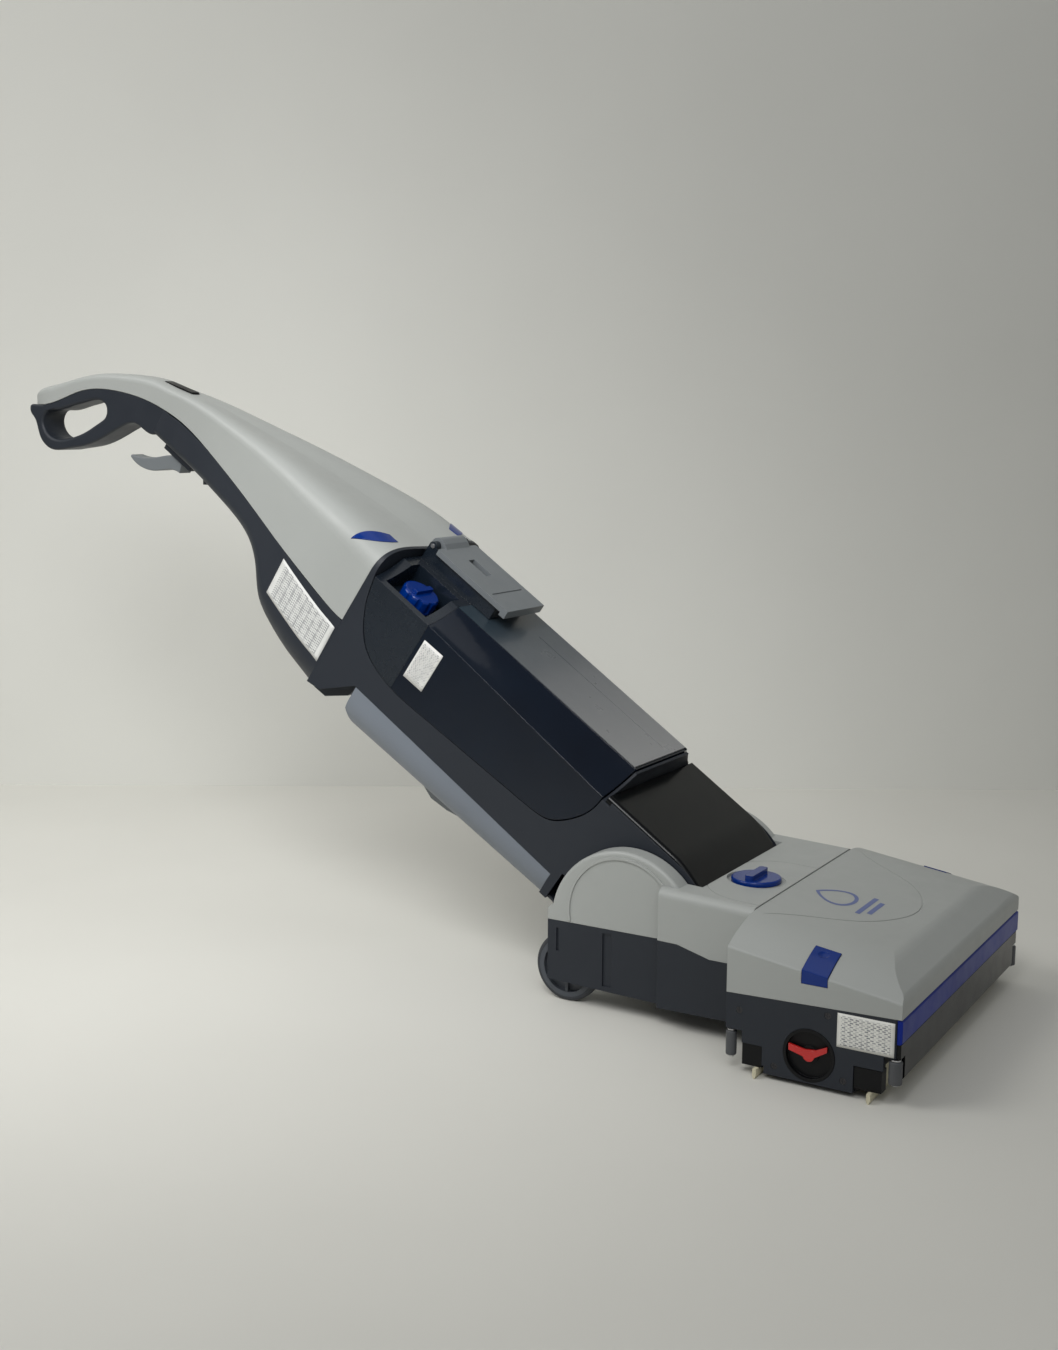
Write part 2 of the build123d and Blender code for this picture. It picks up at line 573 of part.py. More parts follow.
def wheel_rim(side):
    """Spoked wheel rim."""
    rim = wheel_disc(26, WHEEL_R - 4.6, WHEEL_IN, WHEEL_OUT, WHEEL_Y, WHEEL_R)
    rim += rod_x(WHEEL_Y, WHEEL_R, 9.5, WHEEL_IN, WHEEL_OUT)
    rim += rod_x(WHEEL_Y, WHEEL_R, 27, WHEEL_IN + 5.5, WHEEL_OUT - 5.5)
    spoke = Pos((WHEEL_IN + WHEEL_OUT) / 2, 0, 18) * Box(WHEEL_OUT - WHEEL_IN - 2, 3.2, 18)
    for number in range(6):
        rim += Pos(0, WHEEL_Y, WHEEL_R) * Rot(60 * number, 0, 0) * spoke
    rim -= rod_x(WHEEL_Y, WHEEL_R, 5 + RUN, WHEEL_IN - 1, WHEEL_OUT + 1)
    return rim if side > 0 else mirror(rim, about=Plane.YZ)


def wheel_tyre(side):
    """Rubber tyre with rounded shoulders."""
    tyre = rod_x(WHEEL_Y, WHEEL_R, WHEEL_R, WHEEL_IN, WHEEL_OUT)
    tyre = fillet(tyre.edges(), 4)
    tyre -= rod_x(WHEEL_Y, WHEEL_R, WHEEL_R - 4.6, WHEEL_IN - 1, WHEEL_OUT + 1)
    return tyre if side > 0 else mirror(tyre, about=Plane.YZ)


# ---- upper body ---------------------------------------------------------------------------
def crown_section(y, half, low, shoulder, top):
    """Face across the body at y: straight sides and a crowned top."""
    left = Spline((-half, y, shoulder), (0, y, top), tangents=((0, 0, 1), (1, 0, 0)))
    right = Spline((0, y, top), (half, y, shoulder), tangents=((1, 0, 0), (0, 0, -1)))
    frame = Polyline((half, y, shoulder), (half, y, low), (-half, y, low), (-half, y, shoulder))
    return make_face([left, right, frame])


def tank_seat(growth):
    """Outline of the tank's side, which is also the hollow that it lies in."""
    ground = Line((0, 165, 18 - growth), (0, 338, 7.4 - growth))
    front = Spline(*in_side([(101.5 - growth, 96), (106 - growth, 60), (126 - growth, 31 - growth),
                             (165, 18 - growth)]), tangents=((0, 0.02, -1), (0, 1, -0.061)))
    rise = [(338, 7.4 - growth), (384, 10.5 - growth), (416 + growth, 25 - growth), (437 + growth, 54),
            (448 + growth, 96)]
    rear = Spline(*in_side(rise), tangents=((0, 1, -0.061), (0, 0.18, 1)))
    lid = Polyline(*in_side([(448 + growth, 96), (452 + growth, 130), (101.5 - growth, 130),
                             (101.5 - growth, 96)]))
    return [front, ground, rear, lid]


def body_outline(inset):
    """Side outline of the body housing, made smaller by inset."""
    front, lower = FRONT_FACE - inset, -60 + inset
    swing = SWING_R - inset
    turn = math.sqrt(swing ** 2 - lower ** 2)
    nose = ThreePointArc(*in_side([(0, swing), (-swing * math.sin(math.radians(24)),
                                               swing * math.cos(math.radians(24))), (lower, turn)]))
    heel_r = 60 - inset
    turned = math.radians(38)
    heel = ThreePointArc(*in_side([(lower, 0), (-heel_r * math.cos(turned), -heel_r * math.sin(turned)),
                                   (-12, -heel_r * 0.98)]))
    back = BACK_FACE + inset
    top = BODY_TOP - inset
    rest = Polyline(*in_side([(-12, -heel_r * 0.98), (60, -56 + inset), (83 + inset, -47 + inset),
                              (99 - inset, -47 + inset), (100 - inset, back), (402 + inset * 0.5, back),
                              (438 + inset * 0.5, -57 + inset), (top, -60 + inset), (top, COLLAR_TOP + 5),
                              (90, COLLAR_TOP + 5), (90, front), (0, front)]))
    side = Line(*in_side([(lower, turn), (lower, 0)]))
    return [nose, side, heel, rest]


def body_housing():
    """Main shell of the tilting body, with the hollow that the recovery tank lies in."""
    shell = side_prism(body_outline(0), BODY_HALF)
    crown = extrude(crown_section(-100, BODY_HALF, -100, TANK_EDGE, COLLAR_TOP), amount=620, dir=(0, 1, 0))
    shell &= crown
    inner = side_prism(body_outline(WALL), BODY_HALF - WALL)
    inner_crown = extrude(crown_section(-100, BODY_HALF - WALL, -100, TANK_EDGE - WALL, COLLAR_TOP - WALL),
                          amount=620, dir=(0, 1, 0))
    inner &= inner_crown
    inner -= side_prism(tank_seat(1.2 + WALL), BODY_HALF)
    shell -= inner
    shell -= side_prism(tank_seat(1.2), BODY_HALF + 5)
    shell -= box((-BODY_HALF + 1.6, BODY_HALF - 1.6), (-57, 97.3), (FRONT_FACE - 4.2, 130))
    shell -= box((-BODY_HALF + 1.6, BODY_HALF - 1.6), (-57, 2), (58, 100))
    rim = box((-120, 120), (85, 101), (60, 160)) & (flank_cutter(3) + mirror(flank_cutter(3), about=Plane.YZ)
                                                  + box((-120, 120), (85, 101), (TANK_CROWN - 3, 160)))
    shell -= rim
    neck = box((94.5, 105), (-70, 90), (-70, -12))
    shell -= neck
    shell -= mirror(neck, about=Plane.YZ)
    for side in (-1, 1):
        low, high = sorted((side * 90, side * 105))
        shell -= rod_x(0, 0, 16, low, high)
    return shell


def front_cover():
    """Black cover of the body's lower front, curved round the pivot at its lower end."""
    half = BODY_HALF - 1.8
    meet = 24.0
    meet_z = math.sqrt(SWING_R ** 2 - meet ** 2)
    along = (0, -meet_z / SWING_R, -meet / SWING_R)
    arc = [(SWING_R * math.sin(math.radians(turn)), SWING_R * math.cos(math.radians(turn)))
           for turn in (-28, -40)]
    inner_r = SWING_R - 7.5
    inner = [(inner_r * math.sin(math.radians(turn)), inner_r * math.cos(math.radians(turn)))
             for turn in (-40, -20)]
    outline = [
        Line((0, 97, COVER_FACE), (0, NOSE_START, COVER_FACE)),
        Spline((0, NOSE_START, COVER_FACE), (0, -meet, meet_z), tangents=((0, -1, 0), along)),
        ThreePointArc((0, -meet, meet_z), (0, *arc[0]), (0, *arc[1])),
        Line((0, *arc[1]), (0, *inner[0])),
        ThreePointArc((0, *inner[0]), (0, *inner[1]), (0, 0, inner_r)),
        Polyline(*in_side([(0, inner_r), (2, inner_r), (2, FRONT_FACE - 4), (93.5, FRONT_FACE - 4),
                           (93.5, 62), (97, 62), (97, COVER_FACE)])),
    ]
    cover = side_prism(outline, half)
    rim = [edge for edge in cover.edges() if abs(abs(edge.center().X) - half) < 0.01
           and edge.center().Z > SWING_R - 3.5 and edge.length > 20 and abs(edge.center().Y) < 60]
    cover = fillet(rim, 5)
    cover -= box((-half + 6, half - 6), (6, 90), (60, COVER_FACE - 3.2))
    for side in (-1, 1):
        cover -= box(sorted((side * (half - 2), side * (half + 1))), (90, 98), (50, FRONT_FACE - 4))
    return cover


def solution_tank_form(inset):
    """Outer form of the rounded tank on the body's back, which deepens towards its upper end."""
    half, top = BODY_HALF - inset, BACK_FACE - 0.3 - inset
    outline = [(100 + inset, top), (101 + inset, -90), (374.7 - inset, -90), (400 - inset, -52 + inset),
               (400 - inset, top)]
    start, slope = 60, 11 / 246
    low = -62 + inset + (140 - start) * slope
    across = Polyline((-half, start, low), (half, start, low), (half, start, 60), (-half, start, 60),
                      close=True)
    section = make_face(across)
    section = fillet([v for v in section.vertices() if v.Z < 0], 36 - inset)
    return prism(outline, -half, half) & extrude(section, amount=400, dir=(0, 1, -slope))


def solution_tank():
    """Clean water tank on the back of the body, hollow."""
    return solution_tank_form(0) - solution_tank_form(2.5)


def pivot_bushes():
    """Bushes of the tilting body on the pivot tubes."""
    bush = wheel_disc(12 + RUN, 16, 85, BODY_HALF - 0.2, 0, 0)
    return both_sides(bush)


def vacuum_motor():
    """Can of the suction motor, on the pivot line."""
    can = rod_x(34, 14, 40, -50, 50)
    can = fillet(can.edges(), 5)
    can += box((-40, 40), (5, 65), (-50, -20))
    can -= rod_x(34, 14, 37, -70, -18)
    return can - rod_x(34, 14, 4 + RUN, -20, 30)


def vacuum_fan():
    """Fan of the suction motor with its blades and shaft."""
    fan = rod_x(34, 14, 35, -26, -23)
    fan += rod_x(34, 14, 4, -44, 20)
    fan += rod_x(34, 14, 9, -44, -26)
    blade = Pos(-34, 0, 21) * Box(16, 1.6, 26)
    for number in range(9):
        fan += Pos(0, 34, 14) * Rot(40 * number, 0, 0) * blade
    return fan


def air_duct():
    """Duct from the tank's head down to the suction motor."""
    return rod_y(62, -8, 8.5, 104, 398) - rod_y(62, -8, 7, 103, 399)


def control_board():
    """Circuit board between the tanks, with its larger components."""
    board = box((-70, 30), (180, 300), (-16, -14.4))
    for x, y in ((-50, 200), (-20, 215), (-48, 250), (5, 240), (-15, 280)):
        board += box((x - 9, x + 9), (y - 7, y + 7), (-14.4, -6))
    return board


def lower_hook():
    """Lower cord hook on the solution tank, open towards the floor."""
    outline = [(334, -71), (298, -69.4), (268, -84), (238, -88), (236, -93), (262, -101), (286, -104),
               (318, -94), (336, -80)]
    hook = prism(outline, -24, 24)
    return fillet(hook.edges().filter_by(Axis.X).group_by(Axis.Z)[0], 3)


def handle_bracket():
    """Bracket that ties the handle's rear shell to the body, with two screw bosses."""
    outline = [(404, -24), (437, -58.5), (455.8, -61.5), (455.8, -72), (438, -71), (414, -50)]
    bracket = prism(outline, -78, 78)
    for x in (-55, 55):
        bracket -= Pos(x, 430, -66) * Rot(-40, 0, 0) * Cylinder(4, 12)
    return bracket


def station_plane(seam, crown):
    """Plane across the handle, its origin on the seam and its y axis towards the crown."""
    reach = math.hypot(crown[0] - seam[0], crown[1] - seam[1])
    along = ((crown[0] - seam[0]) / reach, (crown[1] - seam[1]) / reach)
    return Plane((0, *seam), x_dir=(1, 0, 0), z_dir=(0, -along[1], along[0])), reach


def front_form(inset, stations=HANDLE):
    """Crowned form of the handle's front shell, lofted through its stations."""
    faces = []
    for seam, crown, half, ratio in stations:
        plane, reach = station_plane(seam, crown)
        width, low = half - inset, -2.0 if inset > 0 else 0
        top, shoulder = reach - inset, (reach - inset) * ratio
        left = Spline((-width, shoulder), (0, top), tangents=((0, 1), (1, 0)))
        right = Spline((0, top), (width, shoulder), tangents=((1, 0), (0, -1)))
        frame = Polyline((width, shoulder), (width, low), (-width, low), (-width, shoulder))
        faces.append(plane * make_face([left, right, frame]))
    return loft(faces)


def handle_front_shell():
    """Light front shell of the handle, from the body's collar to the grip's end."""
    hollow_stations = HANDLE[:11]
    shell = front_form(0) - front_form(WALL, hollow_stations)
    shell -= switch_space(24, 7.2)
    return shell - rod_x(856, 46, 1.2 + FIT, -9, 9)


def switch_space(length, half):
    """Room for the rocker switch in the handle's top."""
    return Pos(0, 856, 50) * Rot(-17, 0, 0) * Box(half * 2, length * 2, 26)


def power_switch():
    """Rocker switch, long and slightly domed, on a cross pin."""
    rocker = Pos(0, 856, 50) * Rot(-17, 0, 0) * Pos(0, 0, -0.5) * Box(13, 45, 9)
    edges = rocker.edges().filter_by(Axis.X).group_by(Axis.Z)[-1]
    return fillet(edges, 2) + rod_x(856, 46, 1.2, -8.4, 8.4)


def back_station(y):
    """Seam height, lowest z, half width and corner radius of the rear shell at y."""
    for (start, seam, *first), (end, next_seam, *second) in zip(SHELL_BACK, SHELL_BACK[1:]):
        if y <= end:
            part = (y - start) / (end - start)
            return [a + (b - a) * part for a, b in zip((seam, *first), (next_seam, *second))]


def rear_form(inset):
    """Form of the handle's rear shell below the seam, lofted through evenly spaced stations."""
    faces = []
    start, end, count = SHELL_BACK[0][0], SHELL_BACK[-1][0], 17
    for number in range(count):
        y = start + (end - start) * number / (count - 1)
        seam, low, half, radius = back_station(y)
        width, base, corner = half - inset, low + inset, radius - inset
        high = seam + (2 if inset else 0)
        bend = corner * (1 - math.sqrt(0.5))
        outline = [
            Line((-width, y, high), (-width, y, base + corner)),
            ThreePointArc((-width, y, base + corner), (-width + bend, y, base + bend),
                          (-width + corner, y, base)),
            Line((-width + corner, y, base), (width - corner, y, base)),
            ThreePointArc((width - corner, y, base), (width - bend, y, base + bend),
                          (width, y, base + corner)),
            Line((width, y, base + corner), (width, y, high)),
            Line((width, y, high), (-width, y, high)),
        ]
        faces.append(make_face(outline))
    return loft(faces)


def grip():
    """Loop grip at the end of the handle, rounded except along the seam with the front shell."""
    top = [(848, 24.8), (892, 13.2), (927, -1.8), (955, -17.9), (979, -38), (1003, -67.9), (1024, -89.4)]
    base = [(1037, -97.6), (1043, -103), (1039, -110), (1029, -113), (1018, -120), (1004, -129), (984, -129),
            (962, -113), (938, -91), (918, -65), (900, -36), (882, -18), (848, -9)]
    outline = Spline(*in_side(top + base), periodic=True)
    hole = [(1016, -98), (1011, -111), (998, -116), (984, -113), (966, -99.5), (949, -79.5), (933, -52),
            (928.5, -38), (935, -28.5), (948, -29.5), (963, -42), (984, -64), (1003, -83)]
    loop = side_prism(outline, 19.5) - side_prism(Spline(*in_side(hole), periodic=True), 25)
    rounded = fillet([edge for edge in loop.edges() if edge.is_closed and edge.length > 330], 2.6)
    rounded = fillet([edge for edge in rounded.edges() if edge.is_closed and edge.length < 290], 4)
    band = [(y, z + 1) for y, z in top] + [(y - 5, z - 6) for y, z in reversed(top)]
    return rounded + (loop & prism(band, -19.5, 19.5))


def handle_rear_shell():
    """Dark rear shell of the handle with the loop grip."""
    inner = rear_form(WALL) & box((-99, 99), (400, 840), (-200, 200))
    shell = rear_form(0) - inner
    shell += grip()
    shell += hook_stud()
    shell += cable_gland()
    return shell - Pos(0, 766, -6) * Rot(-LEAN, 0, 0) * Cylinder(4.5, 40)


def cable_hook():
    """Upper cord hook, which turns on its stud to let the cord go."""
    upper = in_side([(800, -20.5), (820, -20.8), (837, -35), (855, -49), (874, -58)])
    lower = in_side([(873.4, -61.5), (852, -61.5), (831, -51.5), (813, -36.5), (798, -31)])
    outline = [Spline(*upper), Line(upper[-1], lower[0]), Spline(*lower), Line(lower[-1], upper[0])]
    hook = side_prism(outline, 10)
    long_edges = hook.edges().filter_by(Axis.X, reverse=True).group_by(Axis.X)[0].sort_by(SortBy.LENGTH)[-2:]
    hook = fillet(long_edges, 1.5)
    return hook + rod_z(0, 810, 5, -21.5, -13)


def hook_stud():
    """Stud plate under the handle that carries the upper cord hook."""
    plate = box((-13, 13), (784, 832), (-18, -2))
    return plate - rod_z(0, 810, 5 + RUN, -20, -12) - rear_form(WALL)


def cable_gland():
    """Moulded inlet for the cord on the underside of the handle."""
    gland = Pos(0, 766, -6) * Rot(-LEAN, 0, 0) * Cylinder(8.5, 30)
    gland -= rear_form(WALL)
    return gland.solids().sort_by(Axis.Z)[0]


def on_crown(region):
    """A thin layer of the handle's front surface inside a region."""
    return (front_form(-0.6) & region) - front_form(-0.05)


def side_accents():
    """Coloured teardrops let into the front shell's shoulders."""
    outer = Spline((-94, 499), (-76, 491), (-58, 480))
    end = Line((-58, 480), (-59, 466))
    inner = Spline((-59, 466), (-80, 474), (-94, 499))
    region = extrude(make_face([outer, end, inner]), amount=140, dir=(0, 0, 1))
    return both_sides(on_crown(Pos(0, 0, 60) * region))


# ---- recovery tank ------------------------------------------------------------------------
def flank_cutter(growth):
    """Sloping, slightly hollow flanks that are taken off the tank's top."""
    faces = []
    for y, edge, crown in ((90, 84, 112), (360, TANK_EDGE, TANK_CROWN), (470, TANK_EDGE, TANK_CROWN)):
        edge, crown = edge - growth, crown - growth
        inner, outer = STRIP_HALF, BODY_HALF
        hollow = ThreePointArc((inner, y, crown), ((inner + outer) / 2, y, (edge + crown) / 2 - 2.5),
                               (outer, y, edge))
        frame = Polyline((outer, y, edge), (outer + 8, y, edge - 2), (outer + 8, y, 150), (inner, y, 150),
                         (inner, y, crown))
        faces.append(make_face([hollow, frame]))
    cutter = loft(faces, ruled=True)
    return cutter


def tank_form(inset):
    """Outer form of the whole recovery tank, made smaller by inset."""
    form = side_prism(tank_seat(-inset), BODY_HALF - inset)
    form -= box((-150, 150), (50, 500), (TANK_CROWN - inset, 160))
    cutter = flank_cutter(inset)
    form -= cutter
    form -= mirror(cutter, about=Plane.YZ)
    return form


def tank_bucket():
    """Translucent bucket of the recovery tank, open at its upper end."""
    bucket = tank_form(0) & box((-120, 120), (80, TANK_SPLIT), (-20, 150))
    bucket -= tank_form(2.6) & box((-120, 120), (80, TANK_SPLIT + 10), (-20, 150))
    bucket -= box((-STRIP_HALF + 1, STRIP_HALF - 1), (50, TANK_SPLIT + 5), (TANK_CROWN - 1.2, 150))
    return bucket


def tank_strip():
    """Satin strip let into the bucket's top, with a shallow line."""
    half = STRIP_HALF - 1.2
    strip = box((-half, half), (102, TANK_SPLIT - 0.2), (TANK_CROWN - 1.2, TANK_CROWN + 0.6))
    strip -= box((19, 20.4), (112, 300), (TANK_CROWN, TANK_CROWN + 2))
    return strip & box((-80, 80), (104, 400), (0, 130))


def tank_head():
    """Opaque upper part of the tank, with the cap's recess and the pedestal under the latch."""
    head = tank_form(0) & box((-120, 120), (TANK_SPLIT + 0.3, 460), (-20, 150))
    head -= tank_form(WALL) & box((-120, 120), (TANK_SPLIT - 5, 440), (-20, 150))
    recess_wall = box((-96, -41), (372, 440), (82, 112))
    recess_wall &= tank_form(0)
    head += recess_wall
    head -= box((-93, -44), (375, 437), (85, 130))
    pedestal = box((-34, 34), (TANK_SPLIT + 0.3, 432.6), (TANK_CROWN - 2, 130))
    pedestal += box((-34, 34), (338, TANK_SPLIT + 1), (TANK_CROWN + 1, 130))
    head += pedestal
    head -= box((-31, 31), (TANK_SPLIT + 4, 429.6), (TANK_CROWN - 4, 127))
    for x in (-28, 28):
        head += box((x - 4, x + 4), (431.4, 446), (108, 134))
        head += rod_x(441, 134, 5, x - 4, x + 4)
    head -= rod_x(441, 134, 2.5, -34, 34)
    head -= rod_z(-68, 406, 15 + FIT, 70, 100)
    return head + float_cage()


def latch_pin():
    return rod_x(441, 134, 2.5, -33, 33)


def tank_latch():
    """Latch and carrying grip over the tank's top, on a cross pin at its upper end."""
    plate = box((-38, 38), (324, 431), (131.5, 137.5))
    plate = fillet(plate.edges().filter_by(Axis.Z), 3)
    plate += box((-38, 38), (322, 330), (128, 137.5))
    plate += box((-23, 23), (430, 441), (130.5, 137.5))
    plate += rod_x(441, 134, 8.5, -23, 23)
    plate += prism([(428, 137), (434, 141), (438, 142), (441, 134), (428, 134)], -23, 23)
    plate -= rod_x(441, 134, 2.5 + RUN, -24, 24)
    plate -= box((-6, 6), (380, 408), (129, 140))
    plate -= box((-30, 30), (350, 352), (136.6, 140))
    return plate


def tank_cap():
    """Screw cap of the clean water filler, in the recess of the tank's head."""
    cap = rod_z(-68, 406, 21, 86, 102)
    cap = fillet(cap.edges().sort_by(Axis.Z)[-1], 3)
    for number in range(10):
        turn = math.radians(36 * number)
        cap -= rod_z(-68 + 22.5 * math.cos(turn), 406 + 22.5 * math.sin(turn), 3.5, 88, 110)
    cap += Pos(-68, 406, 103) * Box(30, 6, 6)
    return cap + rod_z(-68, 406, 15, 76, 87)


def tank_float():
    """Float that shuts the suction off when the tank is full."""
    ball = rod_z(45, 395, 14, 40, 62)
    return fillet(ball.edges(), 5)


def float_cage():
    """Cage that guides the float."""
    cage = rod_z(45, 395, 18, 36, TANK_CROWN - 2)
    cage -= rod_z(45, 395, 15, 38, 110)
    cage -= box((0, 90), (388, 402), (42, 96))
    return cage - box((38, 52), (350, 440), (42, 96))


def side_label():
    """Plain label on the right side plate."""
    return prism([(5, 76), (57, 74.6), (57, 45), (5, 46)], -HEAD_HALF - 0.4, -HEAD_HALF)


# ---- assembly -----------------------------------------------------------------------------
def add_base():
    """The pieces of the base, drawn where they stand."""
    parts["head_chassis"] = head_chassis()
    parts["right_side_plate"] = side_plate(-1)
    parts["left_side_plate"] = side_plate(1)
    parts["plate_screws"] = plate_screws()
    parts["front_panel"] = front_panel()
    parts["front_strip"] = front_strip()
    parts["side_label"] = side_label()
    parts["head_cover"] = head_cover()
    parts["right_cover_latch"] = cover_latch(-1)
    parts["left_cover_latch"] = cover_latch(1)
    parts["squeegee_holders"] = squeegee_holders()
    parts["front_squeegee_blade"] = squeegee_blade(FRONT_BLADE_Y)
    parts["rear_squeegee_blade"] = squeegee_blade(REAR_BLADE_Y)
    parts["brush_core"] = brush_core()
    parts["brush_bristles"] = brush_bristles()
    parts["brush_end_cap"] = end_cap()
    parts["brush_release_lever"] = release_lever()
    parts["brush_motor"] = brush_motor()
    parts["motor_rotor"] = motor_rotor()
    parts["drive_belt"] = drive_belt()
    for name, side in (("right", -1), ("left", 1)):
        parts["front_" + name + "_roller"] = roller(*FRONT_ROLLER, side)
        parts["rear_" + name + "_roller"] = roller(*REAR_ROLLER, side)
        parts[name + "_wheel_rim"] = wheel_rim(side)
        parts[name + "_wheel_tyre"] = wheel_tyre(side)
    parts["roller_pins"] = roller_pins()
    parts["rear_chassis"] = rear_chassis()
    parts["rear_cover"] = rear_cover()
    parts["flow_dial"] = dial_knob()
    parts["flow_valve"] = valve_body()
    parts["water_pump"] = water_pump()
    parts["dirty_water_duct"] = dirty_water_duct()
    parts["pivot_brackets"] = pivot_brackets()
    parts["pivot_tubes"] = pivot_tubes()
    parts["wheel_axles"] = wheel_axles()


def add_upper():
    """The pieces of the tilting body, turned to the angle at which it leans."""
    upper = {
        "body_housing": body_housing(),
        "front_cover": front_cover(),
        "solution_tank": solution_tank(),
        "pivot_bushes": pivot_bushes(),
        "vacuum_motor": vacuum_motor(),
        "vacuum_fan": vacuum_fan(),
        "air_duct": air_duct(),
        "control_board": control_board(),
        "lower_hook": lower_hook(),
        "handle_bracket": handle_bracket(),
        "handle_front_shell": handle_front_shell(),
        "handle_rear_shell": handle_rear_shell(),
        "power_switch": power_switch(),
        "cable_hook": cable_hook(),
        "side_accents": side_accents(),
        "tank_bucket": tank_bucket(),
        "tank_strip": tank_strip(),
        "tank_head": tank_head(),
        "latch_pin": latch_pin(),
        "tank_latch": tank_latch(),
        "tank_cap": tank_cap(),
        "tank_float": tank_float(),
    }
    lean = Location((0, PIVOT_Y, PIVOT_Z)) * Location((0, 0, 0), (LEAN, 0, 0))
    for name, solid in upper.items():
        parts[name] = lean * solid


def write_parts():
    """Write each piece, with the origin at the middle of the whole object's base."""
    limits = Compound([solid for part in parts.values() for solid in part.solids()]).bounding_box()
    middle = (limits.min.Y + limits.max.Y) / 2
    os.makedirs("parts", exist_ok=True)
    for name, part in parts.items():
        export_step(Pos(0, -middle, -limits.min.Z) * Compound(part.solids()), f"parts/{name}.step")
    print("moved by", round(-middle, 2), round(-limits.min.Z, 3), "size", limits.size)


add_base()
add_upper()
write_parts()
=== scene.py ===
import json
import math
import random

import bpy
from mathutils import Matrix, Vector
from mathutils.bvhtree import BVHTree


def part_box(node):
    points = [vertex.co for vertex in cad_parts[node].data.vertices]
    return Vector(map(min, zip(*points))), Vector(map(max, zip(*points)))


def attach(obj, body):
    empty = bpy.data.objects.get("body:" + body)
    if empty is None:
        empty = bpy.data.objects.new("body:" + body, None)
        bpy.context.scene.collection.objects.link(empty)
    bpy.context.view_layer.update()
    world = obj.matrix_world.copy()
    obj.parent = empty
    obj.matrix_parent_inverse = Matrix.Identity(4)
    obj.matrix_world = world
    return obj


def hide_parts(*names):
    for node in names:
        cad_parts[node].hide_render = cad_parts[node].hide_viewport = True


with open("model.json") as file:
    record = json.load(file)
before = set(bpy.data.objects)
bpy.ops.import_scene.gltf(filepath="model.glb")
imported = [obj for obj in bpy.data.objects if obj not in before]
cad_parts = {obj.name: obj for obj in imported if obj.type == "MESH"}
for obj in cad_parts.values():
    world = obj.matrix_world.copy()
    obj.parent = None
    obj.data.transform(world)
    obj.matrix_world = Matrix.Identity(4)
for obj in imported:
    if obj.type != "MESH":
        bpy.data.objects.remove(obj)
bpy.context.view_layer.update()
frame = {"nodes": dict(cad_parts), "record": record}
nodes, record = frame["nodes"], frame["record"]
joints = {j["name"]: j for j in record["behaviour"]["joints"]}

# The tilting body leans at this angle; along it runs u, across it v, both from its pivot.
LEAN = math.radians(35)
PIVOT = Vector(joints["body_tilt"]["pos_m"])
ALONG = Vector((0, math.cos(LEAN), math.sin(LEAN)))
ACROSS = Vector((0, -math.sin(LEAN), math.cos(LEAN)))
ASIDE = Vector((1, 0, 0))
UP = Vector((0, 0, 1))
MM = 0.001
HEAD_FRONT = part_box("head_cover")[0].y + MM     # the cover's front, where y of the head is counted from


def on_body(x, u, v):
    """A point of the tilting body, from millimetres along and across it."""
    return PIVOT + (ASIDE * x + ALONG * u + ACROSS * v) * MM


def on_head(x, y, z):
    """A point of the head, from millimetres behind its front."""
    return Vector((x * MM, HEAD_FRONT + y * MM, z * MM))


def srgb(red, green, blue):
    values = []
    for value in (red, green, blue):
        value /= 255
        values.append(value / 12.92 if value <= 0.04045 else ((value + 0.055) / 1.055) ** 2.4)
    return tuple(values)


def shade(colour, factor):
    return tuple(min(1.0, value * factor) for value in colour)


def added(name, data):
    """A new object of the scene that holds the data."""
    made = bpy.data.objects.new(name, data)
    bpy.context.scene.collection.objects.link(made)
    return made


